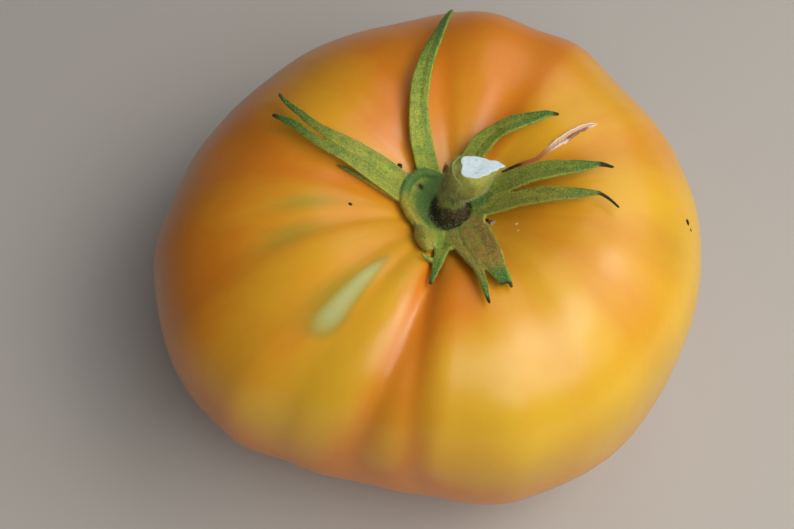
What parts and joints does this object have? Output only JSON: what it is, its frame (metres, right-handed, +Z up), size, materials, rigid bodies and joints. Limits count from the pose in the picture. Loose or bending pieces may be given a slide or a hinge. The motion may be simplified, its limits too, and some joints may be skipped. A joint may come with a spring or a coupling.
{
  "type": "tomato",
  "caption": "Large golden beefsteak tomato with a lobed, ribbed fruit, a sunken stem end, a green calyx of long narrow sepals and a cut stub of stem",
  "frame": {"origin": "the middle of the small flat spot that the fruit rests on", "axes": "+Z up through the stem end; -Y is the side with the double crease; the cut stem leans to +X"},
  "size_m": [0.1035, 0.1015, 0.062],
  "materials": {
    "ripe_skin": "smooth waxy yellow-orange tomato skin, satin gloss",
    "green_calyx": "soft green leaf, finely haired, drying brown at the tips",
    "green_stem": "yellow-green haired stem, white where it is cut and corky brown at the foot"
  },
  "bodies": {
    "root": {"fruit": "ripe_skin", "calyx": "green_calyx", "stem": "green_stem"}
  },
  "joints": []
}
